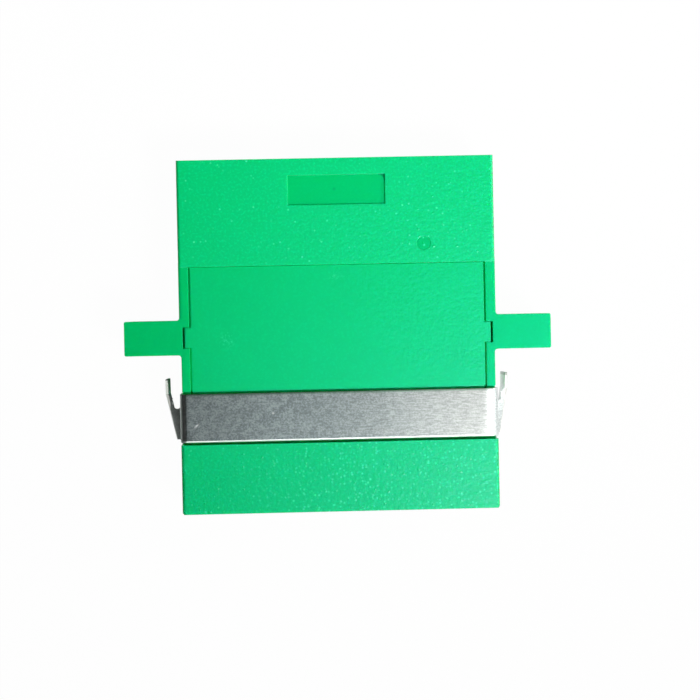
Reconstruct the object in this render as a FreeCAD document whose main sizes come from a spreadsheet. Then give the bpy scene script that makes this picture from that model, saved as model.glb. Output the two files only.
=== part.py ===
import FreeCAD, Part
import math
import os
import re
import Sketcher

# Quad adapter for four pairs of small latched fibre plugs, lying on its broad face.
# +X runs along the flange, +Y comes out of the front ports, +Z is up.
# The origin is on the lower broad face, midway between the ears and between the two port faces.

doc = FreeCAD.newDocument("LcQuadAdapter")
sheet = doc.addObject("Spreadsheet::Sheet", "Sheet")

# Driving dimensions in millimetres: alias, value, meaning.
SIZES = [
    ("front_width", "26.06", "front band, side to side"),
    ("rear_width", "26.16", "rear band, side to side"),
    ("body_height", "9.4", "bands, bottom to top"),
    ("body_length", "29.1", "port face to port face"),
    ("band_round", "0.2", "radius along the bands' long edges"),
    ("corner_cut", "0.15", "chamfer on the rear band's upright corners"),
    ("ear_reach", "4.54", "ears out of the sides"),
    ("flange_thickness", "2.85", "ears along the plug axis"),
    ("ear_root_round", "0.25", "fillet between ear and side"),
    ("ear_tip_round", "0.15", "radius on the ears' outer corners"),
    ("screw_hole", "2.3", "screw hole diameter"),
    ("seam_reach", "5.8", "mid-plane to the seam between band and tongue"),
    ("strip_reach", "5.8", "mid-plane to the strips' hidden ends"),
    ("panel_drop", "0.1", "tongue and strips below the bands"),
    ("tongue_width", "24.14", "rear half's tongue, side to side"),
    ("tongue_thickness", "1.0", "upper tongue"),
    ("floor_thickness", "0.85", "lower tongue"),
    ("strip_gap", "0.15", "slit between tongue and strip"),
    ("lug_width", "0.52", "snap lug out of the tongue"),
    ("lug_length", "1.65", "snap lug along the plug axis"),
    ("lug_relief", "0.18", "free slit beyond the lug"),
    ("fit_gap", "0.04", "clearance where the two halves meet"),
    ("recess_width", "8.0", "smooth recess in the front band"),
    ("recess_length", "2.45", "smooth recess along the plug axis"),
    ("recess_across", "0.1", "recess centre from the middle"),
    ("recess_along", "11.94", "recess centre from the mid-plane"),
    ("recess_depth", "0.22", "smooth recess depth"),
    ("gate_spot", "1.15", "round gate mark diameter"),
    ("gate_depth", "0.03", "round gate mark depth"),
    ("gate_nub", "0.2", "broken gate stub diameter"),
    ("gate_across", "7.2", "gate mark from the middle"),
    ("gate_along", "7.4", "gate mark from the mid-plane"),
    ("port_count", "4", "ports on each side"),
    ("port_pitch", "6.25", "port to port"),
    ("port_axis", "3.3", "ferrule axis above the lower face"),
    ("port_width", "4.65", "port, side to side"),
    ("port_below", "2.32", "port floor below the axis"),
    ("port_above", "3.0", "latch ledge above the axis"),
    ("latch_width", "2.7", "latch slot between the ledges"),
    ("latch_top", "4.7", "latch slot roof above the axis"),
    ("ledge_depth", "2.7", "catch ledges behind the port face"),
    ("chamber_reach", "6.2", "mid-plane to the latch chamber's inner end"),
    ("lead_in", "0.25", "bevel round the port mouths"),
    ("bulkhead", "1.4", "wall at the mid-plane in each half"),
    ("barrel_outside", "2.9", "sleeve barrel diameter"),
    ("lip_bore", "1.4", "narrowest place of the lip"),
    ("lip_length", "0.35", "lip that holds the sleeve, a funnel towards the mouth"),
    ("lip_flare", "0.1", "how far the funnel opens out"),
    ("mouth_length", "0.35", "straight barrel mouth beyond the lip"),
    ("sleeve_outside", "1.62", "sleeve outer diameter"),
    ("sleeve_bore", "1.25", "sleeve inner diameter"),
    ("sleeve_length", "6.8", "sleeve end to end"),
    ("sleeve_slot", "0.35", "split along the sleeve"),
    ("sleeve_float", "0.08", "play round the sleeve and at its ends"),
    ("sheet_thickness", "0.2", "clip sheet"),
    ("clip_front", "4.65", "mid-plane to the clip's front edge"),
    ("clip_across", "26.26", "clip, side to side without its tongues"),
    ("clip_width", "4.04", "clip along the plug axis"),
    ("clip_gap", "0.02", "clip to the groove floor"),
    ("groove_depth", "0.28", "clip groove below the bands"),
    ("groove_margin", "0.2", "groove before the clip's front edge"),
    ("rear_margin", "0.15", "groove behind the clip's rear edge"),
    ("relief_depth", "0.5", "gaps beside the clip, below the groove floor"),
    ("relief_reach", "0.12", "gaps in under the clip's edges"),
    ("clip_bend", "0.55", "outer bend radius"),
    ("clip_edge_round", "0.19", "rolled rear edge of the top plate"),
    ("foot_length", "1.4", "feet under the body"),
    ("spring_low", "2.7", "spring tongue's lower edge"),
    ("spring_high", "6.5", "spring tongue's upper edge"),
    ("lance_gap", "0.15", "window below the spring tongue"),
    ("frame_width", "0.6", "clip's leg in front of the window"),
    ("spring_root", "8.48", "mid-plane to the spring tongue's rear end"),
    ("web_height", "0.35", "rise of the web from spring tongue to frame"),
    ("slit_reach", "5.59", "mid-plane to the centre of the slits' round ends"),
    ("left_slit", "0.72", "slit between the left tongue and its frame"),
    ("right_slit", "0.45", "slit between the right tongue and its frame"),
    ("slit_round", "0.9", "slits' round ends, as a share of their width"),
    ("spring_neck", "5.05", "mid-plane to where the slits start to widen"),
    ("web_end", "0.05", "what is left of the web at the knee"),
    ("spring_knee", "4.7", "mid-plane to the knee, where the web runs out"),
    ("spring_tip", "3.47", "mid-plane to the spring tongue's tip"),
    ("left_flare_root", "0.42", "left tongue offset at its rear end"),
    ("left_flare_knee", "1.28", "left tongue offset at the knee"),
    ("left_flare_tip", "1.3", "left tongue offset at the tip"),
    ("right_flare_root", "0.36", "right tongue offset at its rear end"),
    ("right_flare_knee", "1.0", "right tongue offset at the knee"),
    ("right_flare_tip", "1.04", "right tongue offset at the tip"),
    ("overrun", "0.3", "how far a joined or cut form runs past its face"),
]
for row, (alias, value, meaning) in enumerate(SIZES, start=1):
    sheet.set(f"A{row}", meaning)
    sheet.set(f"B{row}", value)
    sheet.setAlias(f"B{row}", alias)
doc.recompute()

# Faces and levels worked out from the sheet.
FACE = "(body_length / 2)"
FRONT_SIDE = "(front_width / 2)"
REAR_SIDE = "(rear_width / 2)"
EAR = "(flange_thickness / 2)"
EAR_SIDE = "(front_width / 2 + ear_reach)"
EAR_MIDDLE = "(front_width / 2 + ear_reach / 2)"
PANEL_TOP = "(body_height - panel_drop)"
TONGUE_UNDER = "(body_height - panel_drop - tongue_thickness)"
FLOOR_TOP = "(panel_drop + floor_thickness)"
TONGUE_SIDE = "(tongue_width / 2)"
TONGUE_END = "(seam_reach - fit_gap)"
STRIP_INSIDE = "(tongue_width / 2 + strip_gap)"
SEAT_SIDE = "(clip_across / 2 - sheet_thickness - clip_gap)"
CLIP_SIDE = "(clip_across / 2)"
CLIP_REAR = "(clip_front + clip_width)"
SHOULDER = "(clip_front + clip_width + rear_margin)"
GROOVE_END = "(clip_front - groove_margin)"
FRONT_GAP = (GROOVE_END, "(clip_front + relief_reach)")
REAR_GAP = ("(clip_front + clip_width - relief_reach)", SHOULDER)
CLIP_TOP = "(body_height - groove_depth + clip_gap + sheet_thickness)"
CLIP_FOOT = "(groove_depth - clip_gap - sheet_thickness)"
WINDOW_HIGH = "(spring_high + web_height)"
WINDOW_LOW = "(spring_low - lance_gap)"
FIRST_PORT = "(-(port_count - 1) / 2 * port_pitch)"
SEAT_ROUND = "(clip_bend - sheet_thickness - clip_gap)"
SEAT_BORE = "(sleeve_outside / 2 + sleeve_float)"
SEAT_REACH = "(sleeve_length / 2 + sleeve_float)"
BARREL_TIP = "(sleeve_length / 2 + sleeve_float + lip_length + mouth_length)"


def formula(text):
    """The same arithmetic with every word written as a cell of the sheet."""
    return re.sub(r"[a-z][a-z_]*", lambda word: f"Sheet.{word.group()}", text)


def size(text):
    """The number that a formula gives."""
    return float(sheet.evalExpression(formula(text)))


def new_body(label):
    body = doc.addObject("PartDesign::Body", label)
    body.Label = label
    body.AllowCompound = True
    return body


def origin_feature(body, role):
    return next(f for f in body.Origin.OriginFeatures if f.Role == role)


def new_sketch(body, name, plane, level):
    """A sketch parallel to one of the body's planes, at a level along that plane's normal."""
    sketch = body.newObject("Sketcher::SketchObject", name)
    sketch.AttachmentSupport = [(origin_feature(body, plane), "")]
    sketch.MapMode = "FlatFace"
    sketch.setExpression("AttachmentOffset.Base.z", formula(level))
    return sketch


def cross_sketch(body, name, along):
    """A sketch across the plug axis, with X to the right, Z up and Y at the given place."""
    return new_sketch(body, name, "XZ_Plane", f"-({along})")


def pin(sketch, geometry, point, across, up):
    """Holds one point of a sketch at two formulas."""
    for kind, text in (("DistanceX", across), ("DistanceY", up)):
        rule = Sketcher.Constraint(kind, -1, 1, geometry, point, size(text))
        number = sketch.addConstraint(rule)
        sketch.setExpression(f"Constraints[{number}]", formula(text))


def outline(sketch, corners):
    """A closed outline of straight sides through corners given as pairs of formulas."""
    first = sketch.GeometryCount
    count = len(corners)
    places = [FreeCAD.Vector(size(x), size(y), 0) for x, y in corners]
    for i in range(count):
        sketch.addGeometry(Part.LineSegment(places[i], places[(i + 1) % count]))
    for i, (x, y) in enumerate(corners):
        meeting = Sketcher.Constraint("Coincident", first + i, 2, first + (i + 1) % count, 1)
        sketch.addConstraint(meeting)
        pin(sketch, first + i, 1, x, y)


def rectangle(sketch, left, right, low, high):
    outline(sketch, [(left, low), (right, low), (right, high), (left, high)])


def rounded_rectangle(sketch, left, right, low, high, radius):
    """A rectangle with four equal corner arcs, each tangent to the two sides that it joins."""
    first = sketch.GeometryCount
    x0, x1, y0, y1, r = (size(text) for text in (left, right, low, high, radius))
    sides = [
        ((x0 + r, y0), (x1 - r, y0)),
        ((x1, y0 + r), (x1, y1 - r)),
        ((x1 - r, y1), (x0 + r, y1)),
        ((x0, y1 - r), (x0, y0 + r)),
    ]
    centres = [(x1 - r, y0 + r), (x1 - r, y1 - r), (x0 + r, y1 - r), (x0 + r, y0 + r)]
    quarter = math.pi / 2
    for (start, end), centre, turn in zip(sides, centres, (3, 0, 1, 2)):
        sketch.addGeometry(Part.LineSegment(FreeCAD.Vector(*start, 0), FreeCAD.Vector(*end, 0)))
        circle = Part.Circle(FreeCAD.Vector(*centre, 0), FreeCAD.Vector(0, 0, 1), r)
        sketch.addGeometry(Part.ArcOfCircle(circle, turn * quarter, (turn + 1) * quarter))
    for i, (kind, place) in enumerate(
        [("DistanceY", low), ("DistanceX", right), ("DistanceY", high), ("DistanceX", left)]
    ):
        side = first + 2 * i
        arc = side + 1
        following = first + (2 * i + 2) % 8
        sketch.addConstraint(Sketcher.Constraint("Tangent", side, 2, arc, 1))
        sketch.addConstraint(Sketcher.Constraint("Tangent", arc, 2, following, 1))
        sketch.addConstraint(Sketcher.Constraint("Vertical" if i % 2 else "Horizontal", side))
        number = sketch.addConstraint(Sketcher.Constraint(kind, -1, 1, side, 1, size(place)))
        sketch.setExpression(f"Constraints[{number}]", formula(place))
        number = sketch.addConstraint(Sketcher.Constraint("Radius", arc, r))
        sketch.setExpression(f"Constraints[{number}]", formula(radius))


def round_hole(sketch, across, up, diameter):
    centre = FreeCAD.Vector(size(across), size(up), 0)
    number = sketch.addGeometry(Part.Circle(centre, FreeCAD.Vector(0, 0, 1), size(diameter) / 2))
    pin(sketch, number, 3, across, up)
    rule = sketch.addConstraint(Sketcher.Constraint("Diameter", number, size(diameter)))
    sketch.setExpression(f"Constraints[{rule}]", formula(diameter))


def grows_or_stops(body, feature, volume_before, sign):
    """Stops the build if a feature didn't add to the body, or cut from it, as it should."""
    doc.recompute()
    if sign * (body.Shape.Volume - volume_before) <= 0:
        raise ValueError(f"{feature.Name} of {body.Label} changes nothing: {feature.getStatusString()}")
    return feature


def volume_of(body):
    doc.recompute()
    return 0.0 if body.Shape.isNull() else body.Shape.Volume


def pad(body, name, sketch, length, backwards=False):
    before = volume_of(body)
    feature = body.newObject("PartDesign::Pad", name)
    feature.Profile = sketch
    feature.setExpression("Length", formula(length))
    feature.Reversed = backwards
    return grows_or_stops(body, feature, before, 1)


def pocket(body, name, sketch, length, backwards=False):
    before = volume_of(body)
    feature = body.newObject("PartDesign::Pocket", name)
    feature.Profile = sketch
    feature.setExpression("Length", formula(length))
    feature.Reversed = backwards
    return grows_or_stops(body, feature, before, -1)


def loft(body, name, kind, first, second):
    before = volume_of(body)
    feature = body.newObject(f"PartDesign::{kind}", name)
    feature.Profile = first
    feature.Sections = [second]
    feature.Ruled = True
    return grows_or_stops(body, feature, before, 1 if kind == "AdditiveLoft" else -1)


def edges_through(body, points):
    """Names of the tip's edges that pass through the given points."""
    shape = body.Tip.Shape
    names = []
    for point in points:
        spot = Part.Vertex(FreeCAD.Vector(*point))
        nearest = min(range(len(shape.Edges)), key=lambda i: shape.Edges[i].distToShape(spot)[0])
        names.append(f"Edge{nearest + 1}")
    return names


def soften(body, name, kind, points, amount):
    """A fillet or chamfer on the edges that pass through the given points."""
    doc.recompute()
    base = body.Tip
    names = edges_through(body, points)
    feature = body.newObject(f"PartDesign::{kind}", name)
    feature.Base = (base, names)
    feature.setExpression("Radius" if kind == "Fillet" else "Size", formula(amount))
    doc.recompute()
    return feature


def seat_outline(sketch):
    """The section that the clip wraps: the groove floor, with corners that follow the clip's bends."""
    low, high = "groove_depth", "body_height - groove_depth"
    rounded_rectangle(sketch, f"-{SEAT_SIDE}", SEAT_SIDE, low, high, SEAT_ROUND)


def cut_relief(body, gaps):
    """Narrow gaps beside the clip's top plate, deeper than the groove."""
    plan = new_sketch(body, "ReliefPlan", "XY_Plane", "body_height")
    side = f"({REAR_SIDE} + overrun)"
    for near, far in gaps:
        rectangle(plan, f"-{side}", side, f"-{far}", f"-{near}")
    pocket(body, "ClipRelief", plan, "groove_depth + relief_depth")


def mouth_corners(grow):
    """The port mouth: a square opening with the narrower latch slot above it, grown all round."""
    half = f"(port_width / 2 + {grow})"
    slot = f"(latch_width / 2 + {grow})"
    floor = f"(port_axis - port_below - {grow})"
    ledge = "(port_axis + port_above)"
    roof = f"(port_axis + latch_top + {grow})"
    middle = FIRST_PORT
    return [
        (f"{middle} - {half}", floor),
        (f"{middle} + {half}", floor),
        (f"{middle} + {half}", ledge),
        (f"{middle} + {slot}", ledge),
        (f"{middle} + {slot}", roof),
        (f"{middle} - {slot}", roof),
        (f"{middle} - {slot}", ledge),
        (f"{middle} - {half}", ledge),
    ]


def sketch_axis(sketch, across, up):
    """A construction line straight up the sketch, to turn a profile about. Returns its name."""
    foot = FreeCAD.Vector(size(across), 0, 0)
    head = FreeCAD.Vector(size(across), size(up), 0)
    number = sketch.addGeometry(Part.LineSegment(foot, head), True)
    sketch.addConstraint(Sketcher.Constraint("PointOnObject", number, 1, -1))
    sketch.addConstraint(Sketcher.Constraint("Vertical", number))
    pin(sketch, number, 2, across, up)
    return "Axis0"


def add_ports(body, side):
    """Four ports with latch ledges, chambers and sleeve barrels, opening towards side (1 front, -1 rear)."""
    front = side > 0
    left = f"{FIRST_PORT} - port_width / 2"
    right = f"{FIRST_PORT} + port_width / 2"
    floor = "port_axis - port_below"

    cavity = cross_sketch(body, "CavitySection", f"{side} * bulkhead")
    rectangle(cavity, left, right, floor, "port_axis + port_above")
    cavity_cut = pocket(body, "Cavity", cavity, "chamber_reach - bulkhead", not front)

    chamber = cross_sketch(body, "ChamberSection", f"{side} * chamber_reach")
    rectangle(chamber, left, right, floor, "port_axis + latch_top")
    chamber_length = f"{FACE} - ledge_depth - chamber_reach"
    chamber_cut = pocket(body, "LatchChamber", chamber, chamber_length, not front)

    mouth = cross_sketch(body, "MouthSection", f"{side} * ({FACE} - ledge_depth)")
    outline(mouth, mouth_corners("0"))
    mouth_cut = pocket(body, "Mouth", mouth, "ledge_depth + overrun", not front)

    inner = cross_sketch(body, "LeadInInner", f"{side} * ({FACE} - lead_in)")
    outline(inner, mouth_corners("0"))
    outer = cross_sketch(body, "LeadInOuter", f"{side} * {FACE}")
    outline(outer, mouth_corners("lead_in"))
    lead_cut = loft(body, "LeadIn", "SubtractiveLoft", inner, outer)

    ring = cross_sketch(body, "BarrelSection", f"{side} * (bulkhead - overrun)")
    round_hole(ring, FIRST_PORT, "port_axis", "barrel_outside")
    barrel = pad(body, "Barrel", ring, f"{BARREL_TIP} - bulkhead + overrun", front)

    before = volume_of(body)
    bore = new_sketch(body, "BoreProfile", "XY_Plane", "port_axis")
    steps = [
        ("0", "-overrun"),
        (SEAT_BORE, "-overrun"),
        (SEAT_BORE, SEAT_REACH),
        ("lip_bore / 2", SEAT_REACH),
        ("lip_bore / 2 + lip_flare", f"{SEAT_REACH} + lip_length"),
        ("lip_bore / 2 + lip_flare", BARREL_TIP),
        ("0", BARREL_TIP),
    ]
    outline(bore, [(f"{FIRST_PORT} + {radius}", f"{side} * ({along})") for radius, along in steps])
    spindle = sketch_axis(bore, FIRST_PORT, f"{side} * {BARREL_TIP}")
    groove = body.newObject("PartDesign::Groove", "SleeveBore")
    groove.Profile = bore
    groove.ReferenceAxis = (bore, [spindle])
    groove.Angle = 360
    grows_or_stops(body, groove, before, -1)

    before = volume_of(body)
    pattern = body.newObject("PartDesign::LinearPattern", "Ports")
    pattern.Originals = [cavity_cut, chamber_cut, mouth_cut, lead_cut, barrel, groove]
    pattern.Direction = (origin_feature(body, "X_Axis"), [""])
    pattern.Mode = "Spacing"
    pattern.setExpression("Offset", formula("port_pitch"))
    pattern.setExpression("Occurrences", formula("port_count"))
    body.Tip = pattern
    grows_or_stops(body, pattern, before, -1)


def build_front_housing():
    body = new_body("front_housing")

    band = cross_sketch(body, "BandSection", FACE)
    rounded_rectangle(band, f"-{FRONT_SIDE}", FRONT_SIDE, "0", "body_height", "band_round")
    pad(body, "Band", band, f"{FACE} - seam_reach")

    core = cross_sketch(body, "CoreSection", "fit_gap / 2")
    core_side = f"({STRIP_INSIDE} + overrun)"
    rectangle(core, f"-{core_side}", core_side, f"{FLOOR_TOP} + fit_gap", f"{TONGUE_UNDER} - fit_gap")
    pad(body, "Core", core, "seam_reach + overrun", True)

    plan = new_sketch(body, "SidePlan", "XY_Plane", "panel_drop")
    for hand in ("", "-"):
        outline(plan, [
            (f"{hand}{STRIP_INSIDE}", "seam_reach + overrun"),
            (f"{hand}{FRONT_SIDE}", "seam_reach + overrun"),
            (f"{hand}{FRONT_SIDE}", EAR),
            (f"{hand}{EAR_SIDE}", EAR),
            (f"{hand}{EAR_SIDE}", f"-{EAR}"),
            (f"{hand}{SEAT_SIDE}", f"-{EAR}"),
            (f"{hand}{SEAT_SIDE}", "-strip_reach"),
            (f"{hand}{STRIP_INSIDE}", "-strip_reach"),
        ])
    pad(body, "StripsAndEars", plan, "body_height - 2 * panel_drop")

    middle = size("body_height / 2")
    ear = size(EAR)
    roots = [(x * size(FRONT_SIDE), ear, middle) for x in (-1, 1)]
    roots += [(x * size(SEAT_SIDE), -ear, middle) for x in (-1, 1)]
    soften(body, "EarRoots", "Fillet", roots, "ear_root_round")
    tips = [(x * size(EAR_SIDE), y * ear, middle) for x in (-1, 1) for y in (-1, 1)]
    soften(body, "EarTips", "Fillet", tips, "ear_tip_round")

    ring = cross_sketch(body, "ClipGroove", "-(strip_reach + overrun)")
    rim = f"({FRONT_SIDE} + overrun)"
    rectangle(ring, f"-{rim}", rim, "-overrun", "body_height + overrun")
    seat_outline(ring)
    pocket(body, "ClipGrooveCut", ring, f"strip_reach + overrun - {GROOVE_END}")
    cut_relief(body, [FRONT_GAP])

    for name, level, depth, upward in (
        ("UpperNotch", "body_height", "panel_drop + tongue_thickness + fit_gap", False),
        ("LowerNotch", "0", f"{FLOOR_TOP} + fit_gap", True),
    ):
        notch = new_sketch(body, f"{name}Plan", "XY_Plane", level)
        half = "(lug_length / 2 + fit_gap)"
        for hand in ("", "-"):
            inside = f"{hand}({STRIP_INSIDE} - strip_gap / 2)"
            outside = f"{hand}({TONGUE_SIDE} + lug_width + lug_relief)"
            rectangle(notch, inside, outside, f"-{half}", half)
        pocket(body, name, notch, depth, upward)

    screws = cross_sketch(body, "ScrewHoles", f"{EAR} + overrun")
    for hand in ("", "-"):
        round_hole(screws, f"{hand}{EAR_MIDDLE}", "body_height / 2", "screw_hole")
    pocket(body, "ScrewHole", screws, "flange_thickness + 2 * overrun", True)

    add_ports(body, 1)

    recess = new_sketch(body, "RecessPlan", "XY_Plane", "body_height")
    left, right = "recess_across - recess_width / 2", "recess_across + recess_width / 2"
    near, far = "recess_along - recess_length / 2", "recess_along + recess_length / 2"
    rectangle(recess, left, right, near, far)
    pocket(body, "Recess", recess, "recess_depth")

    spot = new_sketch(body, "GateSpotPlan", "XY_Plane", "body_height")
    round_hole(spot, "gate_across", "gate_along", "gate_spot")
    round_hole(spot, "gate_across", "gate_along", "gate_nub")
    pocket(body, "GateSpot", spot, "gate_depth")
    return body


def build_rear_housing():
    body = new_body("rear_housing")

    band = cross_sketch(body, "BandSection", f"-{SHOULDER}")
    rectangle(band, f"-{REAR_SIDE}", REAR_SIDE, "0", "body_height")
    pad(body, "Band", band, f"{FACE} - {SHOULDER}")
    side, top = size(REAR_SIDE), size("body_height")
    corners = [(x, -size(FACE), top / 2) for x in (-side, side)]
    soften(body, "RearCorners", "Chamfer", corners, "corner_cut")
    halfway = -(size(FACE) + size(SHOULDER)) / 2
    edges = [(x, halfway, z) for x in (-side, side) for z in (0, top)]
    soften(body, "LongEdges", "Fillet", edges, "band_round")

    seat = cross_sketch(body, "SeatSection", "-(strip_reach + fit_gap)")
    seat_outline(seat)
    pad(body, "ClipSeat", seat, f"{SHOULDER} - strip_reach - fit_gap + overrun")

    spine = new_sketch(body, "SpineProfile", "YZ_Plane", f"-{TONGUE_SIDE}")
    root = f"-({SHOULDER} + overrun)"
    outline(spine, [
        (root, "groove_depth"),
        (f"-{GROOVE_END}", "groove_depth"),
        (f"-{GROOVE_END}", "panel_drop"),
        (TONGUE_END, "panel_drop"),
        (TONGUE_END, FLOOR_TOP),
        ("-fit_gap / 2", FLOOR_TOP),
        ("-fit_gap / 2", TONGUE_UNDER),
        (TONGUE_END, TONGUE_UNDER),
        (TONGUE_END, PANEL_TOP),
        (f"-{GROOVE_END}", PANEL_TOP),
        (f"-{GROOVE_END}", "body_height - groove_depth"),
        (root, "body_height - groove_depth"),
    ])
    pad(body, "BlockAndTongues", spine, "tongue_width")
    cut_relief(body, [FRONT_GAP, REAR_GAP])

    for name, level, thickness in (
        ("UpperLugs", TONGUE_UNDER, "tongue_thickness"),
        ("LowerLugs", "panel_drop", "floor_thickness"),
    ):
        lugs = new_sketch(body, f"{name}Plan", "XY_Plane", level)
        for hand in ("", "-"):
            inside = f"{hand}({TONGUE_SIDE} - overrun)"
            outside = f"{hand}({TONGUE_SIDE} + lug_width)"
            rectangle(lugs, inside, outside, "-lug_length / 2", "lug_length / 2")
        pad(body, name, lugs, thickness)

    add_ports(body, -1)
    return body


def add_spring(body, side):
    """One spring tongue with the web that carries it, lanced out of the clip's leg on that side."""
    sign = 1 if side == "right" else -1
    hand = side.capitalize()

    def across(place):
        return f"{sign} * ({CLIP_SIDE} + {place})"

    def flare(place):
        return f"{side}_flare_{place}"

    window = new_sketch(body, f"{hand}Window", "YZ_Plane", across("overrun"))
    rectangle(window, f"-({CLIP_REAR} + overrun)", "-(clip_front + frame_width)", WINDOW_LOW, WINDOW_HIGH)
    pocket(body, f"{hand}WindowCut", window, "sheet_thickness + 2 * overrun", sign < 0)

    stations = [
        ("root", "spring_root"),
        ("knee", "spring_knee"),
        ("tip", "spring_tip"),
    ]
    outer = [(across(flare(name)), f"-{along}") for name, along in stations]
    inner = [(across(f"{flare(name)} - sheet_thickness"), f"-{along}") for name, along in stations]
    plan = new_sketch(body, f"{hand}SpringPlan", "XY_Plane", "spring_low")
    outline(plan, outer + inner[::-1])
    pad(body, f"{hand}Spring", plan, "spring_high - spring_low")

    sections = []
    for place, along in stations[:2]:
        section = cross_sketch(body, f"{hand}Web{place.capitalize()}", f"-{along}")
        outline(section, [
            (across("-sheet_thickness"), WINDOW_HIGH),
            (across("0"), WINDOW_HIGH),
            (across(flare(place)), "spring_high"),
            (across(flare(place)), "spring_high - sheet_thickness"),
            (across("0"), f"{WINDOW_HIGH} - sheet_thickness"),
            (across("-sheet_thickness"), f"{WINDOW_HIGH} - sheet_thickness"),
        ])
        sections.append(section)
    loft(body, f"{hand}Web", "AdditiveLoft", *sections)

    slit = f"{side}_slit"
    slit_depth = "web_height + 2 * sheet_thickness"
    slit_end = new_sketch(body, f"{hand}SlitEnd", "XY_Plane", WINDOW_HIGH)
    round_hole(slit_end, across(f"{slit} / 2"), "-slit_reach", f"slit_round * {slit}")
    pocket(body, f"{hand}SlitEndCut", slit_end, slit_depth)
    opening = new_sketch(body, f"{hand}SlitPlan", "XY_Plane", WINDOW_HIGH)
    inside = across("0")
    mouth = across(f"{flare('knee')} - sheet_thickness - web_end")
    outline(opening, [
        (inside, "-slit_reach"),
        (across(slit), "-slit_reach"),
        (across(slit), "-spring_neck"),
        (mouth, "-spring_knee"),
        (mouth, "-(spring_knee - overrun)"),
        (inside, "-(spring_knee - overrun)"),
    ])
    pocket(body, f"{hand}Slit", opening, slit_depth)


def build_spring_clip():
    body = new_body("spring_clip")

    shell = cross_sketch(body, "OutsideSection", "-clip_front")
    rounded_rectangle(shell, f"-{CLIP_SIDE}", CLIP_SIDE, CLIP_FOOT, CLIP_TOP, "clip_bend")
    pad(body, "Outside", shell, "clip_width")

    hollow = cross_sketch(body, "InsideSection", f"-({CLIP_REAR} + overrun)")
    inside = f"({CLIP_SIDE} - sheet_thickness)"
    low = f"{CLIP_FOOT} + sheet_thickness"
    high = f"{CLIP_TOP} - sheet_thickness"
    rounded_rectangle(hollow, f"-{inside}", inside, low, high, "clip_bend - sheet_thickness")
    pocket(body, "Inside", hollow, "clip_width + 2 * overrun")

    rear = -size(CLIP_REAR)
    soften(body, "RolledEdge", "Fillet", [(0, rear, size(CLIP_TOP))], "clip_edge_round")

    gap = cross_sketch(body, "FootGap", f"-({CLIP_REAR} + overrun)")
    foot_end = f"({CLIP_SIDE} - foot_length)"
    rectangle(gap, f"-{foot_end}", foot_end, f"{CLIP_FOOT} - overrun", f"{low} + overrun")
    pocket(body, "FootGapCut", gap, "clip_width + 2 * overrun")

    add_spring(body, "left")
    add_spring(body, "right")
    return body


def build_sleeve(number):
    body = new_body(f"sleeve_{number}")
    ring = cross_sketch(body, "Ring", "sleeve_length / 2")
    round_hole(ring, "0", "0", "sleeve_outside")
    round_hole(ring, "0", "0", "sleeve_bore")
    pad(body, "Tube", ring, "sleeve_length")

    split = cross_sketch(body, "SplitSection", "-(sleeve_length / 2 + overrun)")
    rectangle(split, "-sleeve_slot / 2", "sleeve_slot / 2", "sleeve_bore / 4", "sleeve_outside / 2 + overrun")
    pocket(body, "Split", split, "sleeve_length + 2 * overrun")

    body.setExpression("Placement.Base.x", formula(f"{FIRST_PORT} + {number - 1} * port_pitch"))
    body.setExpression("Placement.Base.z", formula("port_axis"))
    return body


nodes = [build_front_housing(), build_rear_housing(), build_spring_clip()]
nodes += [build_sleeve(number) for number in range(1, int(size("port_count")) + 1)]
doc.recompute()

for item in doc.Objects:
    if "Invalid" in item.State or "Error" in item.State:
        raise ValueError(f"{item.Name} failed: {item.State}")
for node in nodes:
    if node.Shape.isNull() or not node.Shape.isValid() or len(node.Shape.Solids) != 1:
        raise ValueError(f"{node.Label} isn't one sound solid")

os.makedirs("parts", exist_ok=True)
for node in nodes:
    node.Shape.exportStep(f"parts/{node.Label}.step")
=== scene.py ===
import math
from collections import namedtuple

import bpy
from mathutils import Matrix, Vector


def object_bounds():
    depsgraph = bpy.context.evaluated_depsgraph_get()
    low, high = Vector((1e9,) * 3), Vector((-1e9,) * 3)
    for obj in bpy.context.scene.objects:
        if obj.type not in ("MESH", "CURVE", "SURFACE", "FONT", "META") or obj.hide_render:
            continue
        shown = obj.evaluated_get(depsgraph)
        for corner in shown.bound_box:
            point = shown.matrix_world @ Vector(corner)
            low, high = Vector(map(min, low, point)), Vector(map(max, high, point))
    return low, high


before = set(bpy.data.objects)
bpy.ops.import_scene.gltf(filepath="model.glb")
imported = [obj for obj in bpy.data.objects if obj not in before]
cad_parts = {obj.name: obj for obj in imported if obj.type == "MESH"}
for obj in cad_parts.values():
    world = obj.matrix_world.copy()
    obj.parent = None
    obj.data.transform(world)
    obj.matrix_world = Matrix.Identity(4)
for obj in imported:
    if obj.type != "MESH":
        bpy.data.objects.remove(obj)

cad_low, cad_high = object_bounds()
MM = 0.001

Place = namedtuple("Place", "point x y z")
Masks = namedtuple("Masks", "coarse fine shade pale")


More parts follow.
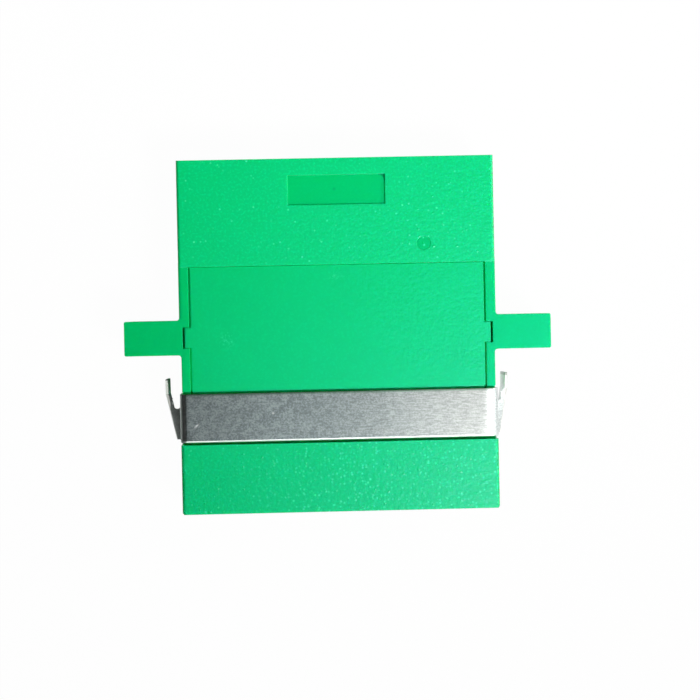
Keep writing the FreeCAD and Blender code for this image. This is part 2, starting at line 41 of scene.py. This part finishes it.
class Graph:
    """A node tree with short calls that return output sockets. Numbers and sockets mix freely."""

    def __init__(self, tree):
        tree.nodes.clear()
        self.tree = tree

    def node(self, kind, inputs, out=0, **settings):
        made = self.tree.nodes.new(kind)
        for name, value in settings.items():
            setattr(made, name, value)
        for key, value in inputs.items():
            if isinstance(value, bpy.types.NodeSocket):
                self.tree.links.new(value, made.inputs[key])
            else:
                made.inputs[key].default_value = value
        return made.outputs[out] if made.outputs else None

    def math(self, operation, a, b=0.0):
        return self.node("ShaderNodeMath", {0: a, 1: b}, operation=operation)

    def chain(self, operation, values):
        result, *others = values
        for value in others:
            result = self.math(operation, result, value)
        return result

    def times(self, *values):
        return self.chain("MULTIPLY", values)

    def plus(self, *values):
        return self.chain("ADD", values)

    def minus(self, *values):
        return self.chain("SUBTRACT", values)

    def largest(self, *values):
        return self.chain("MAXIMUM", values)

    def size(self, value):
        return self.math("ABSOLUTE", value)

    def invert(self, value):
        return self.minus(1.0, value)

    def weigh(self, *pairs):
        """The sum of values, each times its weight."""
        return self.plus(*[self.times(value, weight) for value, weight in pairs])

    def blend(self, factor, a, b):
        """The number a where the factor is 0, and b where it is 1."""
        return self.plus(self.times(a, self.invert(factor)), self.times(b, factor))

    def rise(self, value, low, high):
        """0 below low and 1 above high, with a smooth step between; low may be the greater one."""
        return self.node(
            "ShaderNodeMapRange",
            {"Value": value, "From Min": low, "From Max": high},
            interpolation_type="SMOOTHSTEP",
        )

    def past(self, value, level, soft=0.02):
        return self.rise(value, level - soft, level + soft)

    def between(self, value, low, high, soft):
        return self.times(self.past(value, low, soft), self.past(value, high, -soft))

    def mix(self, factor, a, b):
        return self.node(
            "ShaderNodeMix",
            {"Factor": factor, 6: a, 7: b},
            out=2,
            data_type="RGBA",
            clamp_factor=True,
        )

    def paint(self, colour, layers):
        """A colour with others laid over it in turn, each where its mask is."""
        for mask, paint in layers:
            colour = self.mix(mask, colour, paint)
        return colour

    def noise(self, point, scale=1.0, detail=2.0, roughness=0.5, distortion=0.0):
        return self.node("ShaderNodeTexNoise", {
            "Vector": point,
            "Scale": scale,
            "Detail": detail,
            "Roughness": roughness,
            "Distortion": distortion,
        })

    def spots(self, point, scale, spread, chance):
        """Scattered spots: how they fade from their middles, in cells, and which cells show one."""
        distance = self.node("ShaderNodeTexVoronoi", {"Vector": point, "Scale": scale})
        draw = self.node("ShaderNodeSeparateColor", {0: distance.node.outputs["Color"]})
        return self.times(self.rise(distance, *spread), self.rise(draw, *chance))

    def place(self):
        """The point in millimetres in the part's frame, and its three coordinates."""
        metres = self.node("ShaderNodeTexCoord", {}, out="Object")
        point = self.node("ShaderNodeVectorMath", {0: metres, "Scale": 1 / MM}, operation="SCALE")
        split = self.tree.nodes.new("ShaderNodeSeparateXYZ")
        self.tree.links.new(point, split.inputs[0])
        return Place(point, *split.outputs)

    def stretch(self, point, factors):
        return self.node("ShaderNodeVectorMath", {0: point, 1: factors}, operation="MULTIPLY")

    def distance(self, at, centre):
        """The distance from a centre, seen from above."""
        dx = self.minus(at.x, centre[0])
        dy = self.minus(at.y, centre[1])
        return self.math("SQRT", self.plus(self.times(dx, dx), self.times(dy, dy)))

    def near(self, at, centre, none, full):
        """0 at one distance from a centre and 1 at the other; either may be the greater one."""
        return self.rise(self.distance(at, centre), none, full)

    def bump(self, height_mm, edge_mm):
        """Surface relief of a height in millimetres, over edges rounded by a small radius."""
        rounded = self.node("ShaderNodeBevel", {"Radius": edge_mm * MM}, samples=6)
        return self.node("ShaderNodeBump", {
            "Strength": 1.0,
            "Distance": MM,
            "Height": height_mm,
            "Normal": rounded,
        })

    def surface(self, inputs):
        shader = self.node("ShaderNodeBsdfPrincipled", inputs)
        self.node("ShaderNodeOutputMaterial", {"Surface": shader})


def new_material(name):
    material = bpy.data.materials.new(name)
    material.use_nodes = True
    return material, Graph(material.node_tree)


# Places are in millimetres in the part's frame, and a side is a distance from the middle plane.
# A pair for a mask gives where it starts and where it is full.
BODY_TOP = cad_high[2] / MM
BODY_SIDE = 13.0
UPPER_FACE = (BODY_TOP - 0.4, BODY_TOP - 0.35)
CRISP = 0.01
SOFT = 0.03

# The plastic: plain; pale, which is also the colour of the painted glow in the slits; deep, for painted
# shade and the ejector mark; on its raised dots; and bright, for painted glints and highlights and for
# scuffs.
GREEN = (0.0, 0.600, 0.140, 1)
GREEN_PALE = (0.0, 0.65, 0.17, 1)
GREEN_DEEP = (0.0, 0.30, 0.055, 1)
GREEN_DOT = (0.0, 0.78, 0.24, 1)
GREEN_SCUFF_AND_GLINT = (0.06, 0.88, 0.40, 1)

# The slits beside the panel's tongue, the gaps at its snap lugs, and the seam at its end, which are given
# a painted glow.
SLIT_SIDES = (12.03, 12.26)
SLIT_ENDS = (-4.4, 5.8)
LUG_SIDES = (12.1, 12.62)
LUG_GAP = (0.81, 0.88)
SEAM = 5.78
SEAM_HALF = 0.04
SEAM_SIDE = (12.3, 12.2)
DOWN_IN_SLIT = (BODY_TOP - 0.11, BODY_TOP - 0.13)
LOWER_LEFT = (1.0, -1.0)
SLIT_GLOW = 0.13
LOWER_LEFT_GLOW = 0.06
SEAM_GLOW = 0.22

# Painted shade on the left upper edges of the body, on both sides of the ear.
LEFT_EDGE = (0.24 - BODY_SIDE, 0.04 - BODY_SIDE)
LEFT_EDGE_LEVEL = (BODY_TOP - 0.4, BODY_TOP - 0.2)
PAST_EAR = (1.45, 1.8)
LEFT_EDGE_SHADE = 0.8

# The front half's recess with its ejector mark and painted shade in its corner, and the round gate mark
# with painted shade on its left, a painted highlight on its nub, and a pale speck.
RECESS_SIDES = (-3.9, 4.1)
RECESS_ENDS = (10.715, 13.165)
CORNER = (3.56, 12.62)
CORNER_RADIUS = 0.5
CORNER_SOFT = 0.06
CORNER_SHADE = 0.9
EJECTOR = (-0.08, 11.99)
EJECTOR_SPREAD = (0.2, 0.05)
EJECTOR_SHADE = 0.35
GATE = (7.2, 7.4)
GATE_SPREAD = (0.625, 0.525)
GATE_SHADE = 0.03
CRESCENT = (7.45, 7.4)
CRESCENT_SPREAD = (0.5, 0.75)
CRESCENT_SHADE = 0.18
NUB = (7.24, 7.24)
NUB_SPREAD = (0.12, 0.04)
SPECK = (7.17, 7.85)
SPECK_SPREAD = (0.09, 0.03)
FRONT_MATT = 0.25

# The rear half's shoulder behind the clip, the panel's edge at the groove with its line of painted shade,
# and the two scuffs.
SHOULDER = -8.8
GROOVE_LINE = (-4.45, -4.3)
GROOVE_SHADE = 0.1
LEFT_SCUFF = (-9.14, -0.24)
UPPER_SCUFF = (-0.16, 9.68)
UPPER_SCUFF_SQUASH = 2.0
SCUFF_SPREAD = (0.9, 0.3)
SCUFF_STRENGTH = 0.35

# The part of the bands that is turned to the lamp, which gets painted sparkles.
LIT_REAR = (-4.0, -9.0)
LIT_RIGHT = (-12.0, 0.0)

# The plastic's flow lines, raised dots and peaks.
FLOW_CONTRAST = (0.3, 0.75)
FLOW_STRENGTH = 0.2
DOT_CONTRAST = (0.46, 0.72)
PEAK_HEIGHT = 0.009


def painted_slit_glow(g, at):
    """Painted glow down in the slits beside the tongue and in the seam. It stands in for light coming
    through the thin walls and is a little stronger at the lower left.
    """
    side = g.size(at.x)
    slit = g.times(g.between(side, *SLIT_SIDES, CRISP), g.between(at.y, *SLIT_ENDS, SOFT))
    lug = g.times(g.between(side, *LUG_SIDES, CRISP), g.between(g.size(at.y), *LUG_GAP, CRISP))
    across_seam = g.between(at.y, SEAM - SEAM_HALF, SEAM + SEAM_HALF, CRISP)
    seam = g.times(across_seam, g.rise(side, *SEAM_SIDE), SEAM_GLOW)
    lower_left = g.times(g.rise(at.x, *LOWER_LEFT), g.rise(at.y, *LOWER_LEFT))
    glow = g.plus(SLIT_GLOW, g.times(lower_left, LOWER_LEFT_GLOW))
    slits = g.times(g.largest(slit, lug), glow)
    return g.times(g.largest(slits, seam), g.rise(at.z, *DOWN_IN_SLIT))


def painted_left_edge_shade(g, at):
    """Painted shade on the left upper edges of the body, which turn away from the light, apart from where
    the ear joins.
    """
    past_ear = g.rise(g.size(at.y), *PAST_EAR)
    edge = g.times(g.rise(at.x, *LEFT_EDGE), g.rise(at.z, *LEFT_EDGE_LEVEL))
    return g.times(edge, past_ear, LEFT_EDGE_SHADE)


def mould_dots(g, at):
    """Small raised dots that the mould's texture leaves all over the plastic."""
    return g.rise(g.noise(at.point, scale=5.0, roughness=0.6), *DOT_CONTRAST)


def by_texture(g, masks, plain, coarse, fine):
    """A value on plain faces, and what the coarse and the fine texture add to it."""
    return g.plus(plain, g.weigh((masks.coarse, coarse), (masks.fine, fine)))


def in_recess(g, at):
    return g.times(g.between(at.x, *RECESS_SIDES, CRISP), g.between(at.y, *RECESS_ENDS, CRISP))


def recess_corner_shade(g, at):
    """Painted shade in the right outer corner of the recess, outside a rounded arc."""
    outside = g.past(g.distance(at, CORNER), CORNER_RADIUS, CORNER_SOFT)
    quadrant = g.times(g.past(at.x, CORNER[0]), g.past(at.y, CORNER[1]))
    return g.times(outside, quadrant, in_recess(g, at))


def front_masks(g, at):
    """A textured band with a smooth recess and gate mark, an ejector mark, painted shade in the recess
    corner and on the gate mark's left, and two pale specks: a painted highlight on the gate's nub and a
    speck beside it.
    """
    upper = g.rise(at.z, *UPPER_FACE)
    gate = g.near(at, GATE, *GATE_SPREAD)
    smooth = g.times(g.largest(in_recess(g, at), gate), upper)
    ejector = g.times(g.near(at, EJECTOR, *EJECTOR_SPREAD), EJECTOR_SHADE)
    # Painted shade in the recess corner.
    corner = g.times(recess_corner_shade(g, at), CORNER_SHADE)
    # Painted shade on the left of the gate mark, over a slightly deeper disc.
    crescent = g.near(at, CRESCENT, *CRESCENT_SPREAD)
    disc = g.times(gate, g.plus(GATE_SHADE, g.times(crescent, CRESCENT_SHADE)))
    return Masks(
        coarse=g.times(g.past(at.y, SEAM), g.invert(smooth)),
        fine=g.times(upper, FRONT_MATT),
        shade=g.largest(ejector, corner, disc),
        # A painted highlight on the gate's nub, and a pale speck beside it.
        pale=g.largest(g.near(at, NUB, *NUB_SPREAD), g.near(at, SPECK, *SPECK_SPREAD)),
    )


def rear_masks(g, at):
    """A textured band behind the clip, and a matted panel with two scuffs and a line of painted shade at
    the groove.
    """
    panel = g.past(at.y, SHOULDER)
    left = g.near(at, LEFT_SCUFF, *SCUFF_SPREAD)
    squashed = at._replace(y=g.times(at.y, UPPER_SCUFF_SQUASH))
    upper = g.near(squashed, UPPER_SCUFF, *SCUFF_SPREAD)
    return Masks(
        coarse=g.invert(panel),
        fine=panel,
        shade=g.times(g.between(at.y, *GROOVE_LINE, SOFT), GROOVE_SHADE),
        pale=g.times(g.largest(left, upper), mould_dots(g, at), SCUFF_STRENGTH),
    )


def plastic_colour(g, at, masks):
    """Green with a faint flow, paler dots, painted glints on the bands, bright scuffs and specks with a
    painted highlight, and painted shade.
    """
    flow = g.noise(at.point, scale=0.25, distortion=0.6)
    dotted = by_texture(g, masks, plain=0.12, coarse=0.48, fine=0.12)
    painted_glints = g.spots(at.point, scale=1.8, spread=(0.22, 0.05), chance=(0.2, 1.1))
    painted_sparkles = g.spots(at.point, scale=3.3, spread=(0.42, 0.12), chance=(0.2, 0.9))
    lit = g.times(g.rise(at.y, *LIT_REAR), g.rise(at.x, *LIT_RIGHT))
    painted_glinting = g.times(g.largest(painted_glints, g.times(painted_sparkles, lit)), masks.coarse)
    return g.paint(GREEN, [
        (g.times(g.rise(flow, *FLOW_CONTRAST), FLOW_STRENGTH), GREEN_PALE),
        (g.times(mould_dots(g, at), dotted), GREEN_DOT),
        (g.largest(painted_glinting, masks.pale), GREEN_SCUFF_AND_GLINT),
        (g.largest(masks.shade, painted_left_edge_shade(g, at)), GREEN_DEEP),
    ])


def plastic_height(g, at, masks):
    """The mould's spark texture, with sharper peaks on the bands, in millimetres."""
    spark = g.noise(at.point, scale=3.0, roughness=0.55)
    peaks = g.spots(at.point, scale=2.5, spread=(0.30, 0.02), chance=(0.35, 1.0))
    depth = by_texture(g, masks, plain=0.005, coarse=0.008, fine=0.005)
    return g.plus(g.times(spark, depth), g.times(masks.coarse, peaks, PEAK_HEIGHT))


def housing_plastic(name, half_masks):
    """Moulded green plastic: spark-textured bands, a matted panel, and smoother faces elsewhere."""
    material, g = new_material(name)
    material.cycles.emission_sampling = "NONE"
    at = g.place()
    masks = half_masks(g, at)
    relief = g.bump(plastic_height(g, at, masks), edge_mm=0.05)
    g.surface({
        "Base Color": plastic_colour(g, at, masks),
        "Roughness": by_texture(g, masks, plain=0.27, coarse=0.15, fine=0.11),
        "IOR": 1.6,
        "Specular IOR Level": 0.7,
        "Specular Tint": (0.0, 1.0, 1.0, 1),
        "Subsurface Weight": 0.8,
        "Subsurface Radius": (0.1, 1.0, 0.6),
        "Subsurface Scale": 0.8 * MM,
        "Coat Weight": by_texture(g, masks, plain=0.10, coarse=0.34, fine=0.30),
        "Coat Roughness": 0.22,
        "Coat IOR": 1.5,
        # Painted glow in the slits and the seam.
        "Emission Color": GREEN_PALE,
        "Emission Strength": painted_slit_glow(g, at),
        "Normal": relief,
        "Coat Normal": relief,
    })
    return material


# The folded clip: its plate; its left fold and web, which get painted shade; its two edges, with a painted
# highlight along the rear one and painted shade along the front one; and the ends of the plate.
clip_points = [vertex.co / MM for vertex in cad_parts["spring_clip"].data.vertices]
CLIP_TOP = max(point.z for point in clip_points)
CLIP_REAR = min(point.y for point in clip_points)
CLIP_FRONT = -4.65
CLIP_SIDE = 13.13
PLATE_LEVEL = (CLIP_TOP - 0.03, CLIP_TOP - 0.002)
PLATE_END = (12.6, 12.1)
PLATE_ROLL = (11.9, 14.1)
PLATE_ROLL_DROP = -0.09
RIGHTWARD = (-6.0, 14.0)
RIGHTWARD_EVENNESS = 0.4
DARKER_MIDDLE_SIDES = (-4.0, 4.0)
DARKER_MIDDLE_SOFT = 3.0
DARKER_MIDDLE_STRENGTH = -0.2
GRAIN_CONTRAST = (0.40, 0.60)
GRAIN_MEAN = 0.5
GRAIN_HEIGHT = 0.0012
LINE_HEIGHT = 0.0006
LEFT_FOLD = (-12.3, -12.95)
LEFT_FOLD_LEVEL = (BODY_TOP - 0.45, BODY_TOP - 0.35)
LEFT_FOLD_SHADE = 0.85
LEFT_WEB = (-13.15, -13.2)
LEFT_WEB_LEVEL = (BODY_TOP - 0.4, BODY_TOP - 0.45)
LEFT_WEB_SHADE = 0.6
REAR_EDGE_HIGHLIGHT = (CLIP_REAR + 0.23, CLIP_REAR + 0.16)
REAR_EDGE_HIGHLIGHT_END = (-12.8, -12.5)
FRONT_EDGE_SHADE_BAND = (CLIP_FRONT - 0.23, CLIP_FRONT - 0.03)
FRONT_EDGE_SHADE = 0.8

# The spring tongues, with how far they stand off at the root and at the knee.
SPRING_ROOT = -8.48
SPRING_KNEE = -4.7
SPRING_TIP = max(point.y for point in clip_points)
SPRING_TOP = 6.5
LEFT_FLARE = (0.42, 1.28)
RIGHT_FLARE = (0.36, 1.0)
MIDDLE = (0.1, -0.1)
OFF_FRAME = (0.2, 0.3)
SHEARED_LEVEL = (SPRING_TOP - 0.06, SPRING_TOP - 0.04)
SHEARED_WIDTH = 0.06
SHEARED_WIDENS = (-6.0, -5.4)
SHEARED_WIDENING = 0.15
LEFT_TIP = (SPRING_TIP - 0.11, SPRING_TIP - 0.05)
RIGHT_TIP = (SPRING_TIP - 0.27, SPRING_TIP - 0.19)
RIGHT_TIP_WIDTH = (0.24, 0.18)
RIGHT_TIP_SHADE = 0.6

# The scratch and the pit on the plate.
SCRATCH = (-11.774, -7.249)
SCRATCH_SLANT = (0.754, 0.657)
SCRATCH_WIDTH = (0.11, 0.0)
SCRATCH_LENGTH = (0.40, 0.05)
SCRATCH_STRENGTH = 0.41
PIT = (-5.467, -6.344)
PIT_SPREAD = (0.13, 0.04)
PIT_STRENGTH = 0.4

# The steel: bluish at the left of the plate and grey at its right, where painted sheen stands in for the
# lamp's reflection, and a paler copy, which is painted light, on the folds, legs, tongues and the plate's
# right end.
STEEL_BLUE_DARK = (0.178, 0.216, 0.218, 1)
STEEL_BLUE_LIGHT = (0.360, 0.428, 0.430, 1)
STEEL_GREY_DARK = (0.186, 0.196, 0.190, 1)
STEEL_GREY_LIGHT = (0.372, 0.388, 0.374, 1)
STEEL_PAINTED_LIT_DARK = (0.58, 0.63, 0.615, 1)
STEEL_PAINTED_LIT_LIGHT = (0.82, 0.88, 0.86, 1)
STEEL_SHADE = (0.10, 0.115, 0.11, 1)
STEEL_HIGHLIGHT = (0.80, 0.85, 0.82, 1)
STEEL_FRONT_SHADE = (0.04, 0.13, 0.07, 1)
STEEL_MARK = (0.95, 0.95, 0.93, 1)
STEEL_SHEARED = (0.80, 0.80, 0.76, 1)
STEEL_TIP = (0.10, 0.11, 0.10, 1)


def tongue_edges(g, at):
    """On the spring tongues: the sheared upper edge of the sheet, and its dark cut end."""
    left = g.rise(at.x, *MIDDLE)
    reach = g.minus(g.size(at.x), CLIP_SIDE)
    slope = g.times(g.minus(at.y, SPRING_ROOT), 1 / (SPRING_KNEE - SPRING_ROOT))
    bend = g.math("MINIMUM", slope, 1.0)
    flare = g.blend(left, g.blend(bend, *RIGHT_FLARE), g.blend(bend, *LEFT_FLARE))
    inward = g.minus(flare, reach)
    off_frame = g.rise(reach, *OFF_FRAME)
    width = g.plus(SHEARED_WIDTH, g.times(g.rise(at.y, *SHEARED_WIDENS), SHEARED_WIDENING))
    within = g.past(g.minus(width, inward), 0.0)
    sheared = g.times(off_frame, g.rise(at.z, *SHEARED_LEVEL), within)
    left_tip = g.times(left, g.rise(at.y, *LEFT_TIP))
    right_end = g.times(g.rise(at.y, *RIGHT_TIP), g.rise(inward, *RIGHT_TIP_WIDTH))
    right_tip = g.times(g.invert(left), right_end, RIGHT_TIP_SHADE)
    return sheared, g.times(off_frame, g.plus(left_tip, right_tip))


def handling_marks(g, at):
    """A short slanting scratch and a small bright pit."""
    cosine, sine = SCRATCH_SLANT
    dx = g.minus(at.x, SCRATCH[0])
    dy = g.minus(at.y, SCRATCH[1])
    along = g.size(g.weigh((dx, cosine), (dy, sine)))
    across = g.size(g.weigh((dy, cosine), (dx, -sine)))
    scratch = g.times(g.rise(across, *SCRATCH_WIDTH), g.rise(along, *SCRATCH_LENGTH), SCRATCH_STRENGTH)
    pit = g.times(g.near(at, PIT, *PIT_SPREAD), PIT_STRENGTH)
    return g.largest(scratch, pit)


def plate_colour(g, at, rightward, grain):
    """The plate: blotched and bluish at the left, darker in the middle, and an even grey at the right,
    where painted sheen stands in for the lamp's reflection.
    """
    darker_middle = g.times(g.between(at.x, *DARKER_MIDDLE_SIDES, DARKER_MIDDLE_SOFT), DARKER_MIDDLE_STRENGTH)
    evened = g.plus(g.blend(g.times(rightward, RIGHTWARD_EVENNESS), grain, GRAIN_MEAN), darker_middle)
    dark = g.mix(rightward, STEEL_BLUE_DARK, STEEL_GREY_DARK)
    light = g.mix(rightward, STEEL_BLUE_LIGHT, STEEL_GREY_LIGHT)
    return g.mix(evened, dark, light)


def left_end_shade(g, at):
    """Painted shade on the clip's left fold and the web of its left tongue, which turn away from the
    light.
    """
    fold = g.times(g.rise(at.x, *LEFT_FOLD), g.rise(at.z, *LEFT_FOLD_LEVEL))
    web = g.times(g.rise(at.x, *LEFT_WEB), g.rise(at.z, *LEFT_WEB_LEVEL))
    return g.largest(g.times(fold, LEFT_FOLD_SHADE), g.times(web, LEFT_WEB_SHADE))


def spring_steel():
    """Rolled spring steel with a fine grain, lines along the roll, and the marks of its making and use,
    with painted shade, sheen and highlights on its plate, folds and edges.
    """
    material, g = new_material("spring_steel")
    at = g.place()
    grains = g.noise(at.point, scale=6.0, detail=4.0, roughness=0.7)
    lines = g.noise(g.stretch(at.point, (1.3, 9.0, 9.0)), roughness=0.6)
    clouds = g.noise(at.point, scale=2.0, roughness=0.55)
    rightward = g.rise(at.x, *RIGHTWARD)
    blotched = g.weigh((grains, 0.60), (lines, 0.14), (clouds, 0.26))
    lined = g.weigh((grains, 0.45), (lines, 0.55))
    grain = g.rise(g.blend(rightward, blotched, lined), *GRAIN_CONTRAST)

    plate = g.rise(at.z, *PLATE_LEVEL)
    # A painted highlight along the clip's rear edge.
    rear_highlight = g.times(g.rise(at.y, *REAR_EDGE_HIGHLIGHT), g.rise(at.x, *REAR_EDGE_HIGHLIGHT_END), g.rise(at.z, *UPPER_FACE))
    marks = g.times(handling_marks(g, at), plate)
    sheared, tip = tongue_edges(g, at)
    # The paler copy of the steel is painted light on the folds, legs, tongues and the plate's right end;
    # the plate itself takes the darker colours.
    colour = g.paint(g.mix(grain, STEEL_PAINTED_LIT_DARK, STEEL_PAINTED_LIT_LIGHT), [
        (g.times(plate, g.rise(at.x, *PLATE_END)), plate_colour(g, at, rightward, grain)),
        (left_end_shade(g, at), STEEL_SHADE),
        (rear_highlight, STEEL_HIGHLIGHT),
        # Painted shade along the clip's front edge.
        (g.times(g.rise(at.y, *FRONT_EDGE_SHADE_BAND), plate, FRONT_EDGE_SHADE), STEEL_FRONT_SHADE),
        (marks, STEEL_MARK),
        (sheared, STEEL_SHEARED),
        (tip, STEEL_TIP),
    ])
    plate_roll = g.rise(at.x, *PLATE_ROLL)
    height = g.weigh((grains, GRAIN_HEIGHT), (lines, LINE_HEIGHT), (plate_roll, PLATE_ROLL_DROP))
    g.surface({
        "Base Color": colour,
        "Metallic": g.invert(g.times(sheared, 0.7)),
        "Roughness": g.plus(0.285, g.weigh((marks, 0.2), (sheared, 0.2))),
        "Normal": g.bump(height, edge_mm=0.05),
    })
    return material


# The sleeves' zirconia, in and between its grinding rings.
CERAMIC = (0.84, 0.83, 0.78, 1)
CERAMIC_PALE = (0.90, 0.895, 0.86, 1)


def sleeve_ceramic():
    """Ground zirconia: cream white, with faint grinding rings round the sleeve."""
    material, g = new_material("sleeve_ceramic")
    rings = g.noise(g.stretch(g.place().point, (0.5, 40.0, 0.5)))
    g.surface({
        "Base Color": g.mix(rings, CERAMIC, CERAMIC_PALE),
        "Roughness": g.plus(0.18, g.times(rings, 0.12)),
        "Normal": g.bump(g.times(rings, 0.002), edge_mm=0.03),
    })
    return material


def dress(node, material):
    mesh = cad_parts[node].data
    mesh.materials.clear()
    mesh.materials.append(material)


dress("front_housing", housing_plastic("front_green", front_masks))
dress("rear_housing", housing_plastic("rear_green", rear_masks))
dress("spring_clip", spring_steel())
ceramic = sleeve_ceramic()
for number in range(1, 5):
    dress(f"sleeve_{number}", ceramic)

# The studio round the part. The floor's shade is in millimetres, and all else is in metres.
WHITE = (1, 1, 1, 1)
PAPER = (0.93, 0.93, 0.93, 1)
CLOTH = (0.02, 0.02, 0.02, 1)
MATT = 0.5
PAPER_GLOW = 0.98
FLOOR_SHADE_FROM = (14.0, 14.5)
FLOOR_SHADE_REACH = (200.0, 20.0)
FLOOR_SHADE_LEFT = (12.0, -12.0)
FLOOR_CORNER = (-3, -3, -0.00003)
FLOOR_SIDE = 6
ROOM_LIGHT = 0.33
ROOM_SEEN = 0.67

# The black cards: one corner, and the two edges that leave it.
FLAGS = {
    "overhead_flag": [(-0.5, -0.13, 0.36), (0.61, 0, 0), (0, 0.63, 0)],
    "side_flag": [(-0.45, -0.14, 0.01), (0, 0.24, 0), (0, 0, 0.35)],
}


def rectangle(name, corner, along, across, material):
    """A flat sheet, from one corner and the two edges that leave it."""
    start = Vector(corner)
    first = start + Vector(along)
    last = start + Vector(across)
    corners = [start, first, first + Vector(across), last]
    mesh = bpy.data.meshes.new(name)
    mesh.from_pydata(corners, [], [tuple(range(len(corners)))])
    mesh.materials.append(material)
    made = bpy.data.objects.new(name, mesh)
    bpy.context.scene.collection.objects.link(made)
    return made


def seen_directly(g):
    """1 for a ray from the camera, a reflection or a clear material, and 0 for one that carries light."""
    ray = g.tree.nodes.new("ShaderNodeLightPath")
    kinds = ("Is Camera Ray", "Is Glossy Ray", "Is Transmission Ray")
    return g.largest(*[ray.outputs[kind] for kind in kinds])


def floor_white():
    """White paper that is seen as pure white, but shaded in the reflections close to the part."""
    material, g = new_material("floor_white")
    at = g.place()
    beside_x = g.minus(g.size(at.x), FLOOR_SHADE_FROM[0])
    beside_y = g.minus(g.size(at.y), FLOOR_SHADE_FROM[1])
    close = g.rise(g.largest(beside_x, beside_y), *FLOOR_SHADE_REACH)
    ray = g.tree.nodes.new("ShaderNodeLightPath")
    shaded = g.times(ray.outputs["Is Glossy Ray"], close, g.rise(at.x, *FLOOR_SHADE_LEFT))
    glowing = g.times(seen_directly(g), g.invert(shaded), PAPER_GLOW)
    paper = g.node("ShaderNodeBsdfDiffuse", {"Color": PAPER, "Roughness": MATT})
    glow = g.node("ShaderNodeEmission", {"Color": WHITE, "Strength": 1.0})
    both = g.node("ShaderNodeMixShader", {0: glowing, 1: paper, 2: glow})
    g.node("ShaderNodeOutputMaterial", {"Surface": both})
    return material


def flag_black():
    """Black cloth that keeps light off the steel."""
    material, g = new_material("flag_black")
    cloth = g.node("ShaderNodeBsdfDiffuse", {"Color": CLOTH, "Roughness": MATT})
    g.node("ShaderNodeOutputMaterial", {"Surface": cloth})
    return material


def white_room():
    """An even white room, dimmer as a light than as it is seen."""
    world = bpy.data.worlds.new("studio")
    bpy.context.scene.world = world
    world.use_nodes = True
    g = Graph(world.node_tree)
    strength = g.plus(ROOM_LIGHT, g.times(seen_directly(g), ROOM_SEEN))
    sky = g.node("ShaderNodeBackground", {"Color": WHITE, "Strength": strength})
    g.node("ShaderNodeOutputWorld", {"Surface": sky})


def lamp(name, place, target, side_length, watts, spread):
    """A square lamp that faces a target, with its beam's spread in degrees."""
    data = bpy.data.lights.new(name, "AREA")
    data.shape = "SQUARE"
    data.size = side_length
    data.energy = watts
    data.spread = math.radians(spread)
    made = bpy.data.objects.new(name, data)
    made.location = place
    made.rotation_mode = "QUATERNION"
    made.rotation_quaternion = (Vector(target) - Vector(place)).to_track_quat("-Z", "Y")
    bpy.context.scene.collection.objects.link(made)


rectangle("floor", FLOOR_CORNER, (FLOOR_SIDE, 0, 0), (0, FLOOR_SIDE, 0), floor_white())
flag = flag_black()
for name, (corner, along, across) in FLAGS.items():
    rectangle(name, corner, along, across, flag).visible_camera = False

white_room()
lamp(
    "key",
    place=(0.079, -0.067, 0.265),
    target=(0.01, 0.032, 0.009),
    side_length=0.07,
    watts=0.0310,
    spread=34,
)
lamp(
    "side_softbox",
    place=(0.13, 0.03, 0.085),
    target=(0, 0, 0.009),
    side_length=0.06,
    watts=0.052,
    spread=180,
)

# The photo's camera, with its place in millimetres and its turns in degrees.
CAMERA_PLACE = (-3.85, 1.73, 181.26)
CAMERA_TURNS = (-1.0, -1.6, -1.223)
SENSOR_WIDTH = 36
FOCAL_LENGTH = 107.5
NEAREST_SEEN = 0.01

lens = bpy.data.cameras.new("camera")
lens.sensor_width = SENSOR_WIDTH
lens.lens = FOCAL_LENGTH
lens.clip_start = NEAREST_SEEN
camera = bpy.data.objects.new("camera", lens)
camera.rotation_mode = "ZYX"
camera.rotation_euler = [math.radians(turn) for turn in CAMERA_TURNS]
camera.location = [place * MM for place in CAMERA_PLACE]
bpy.context.scene.collection.objects.link(camera)
bpy.context.scene.camera = camera

bpy.context.scene.view_settings.view_transform = "Standard"
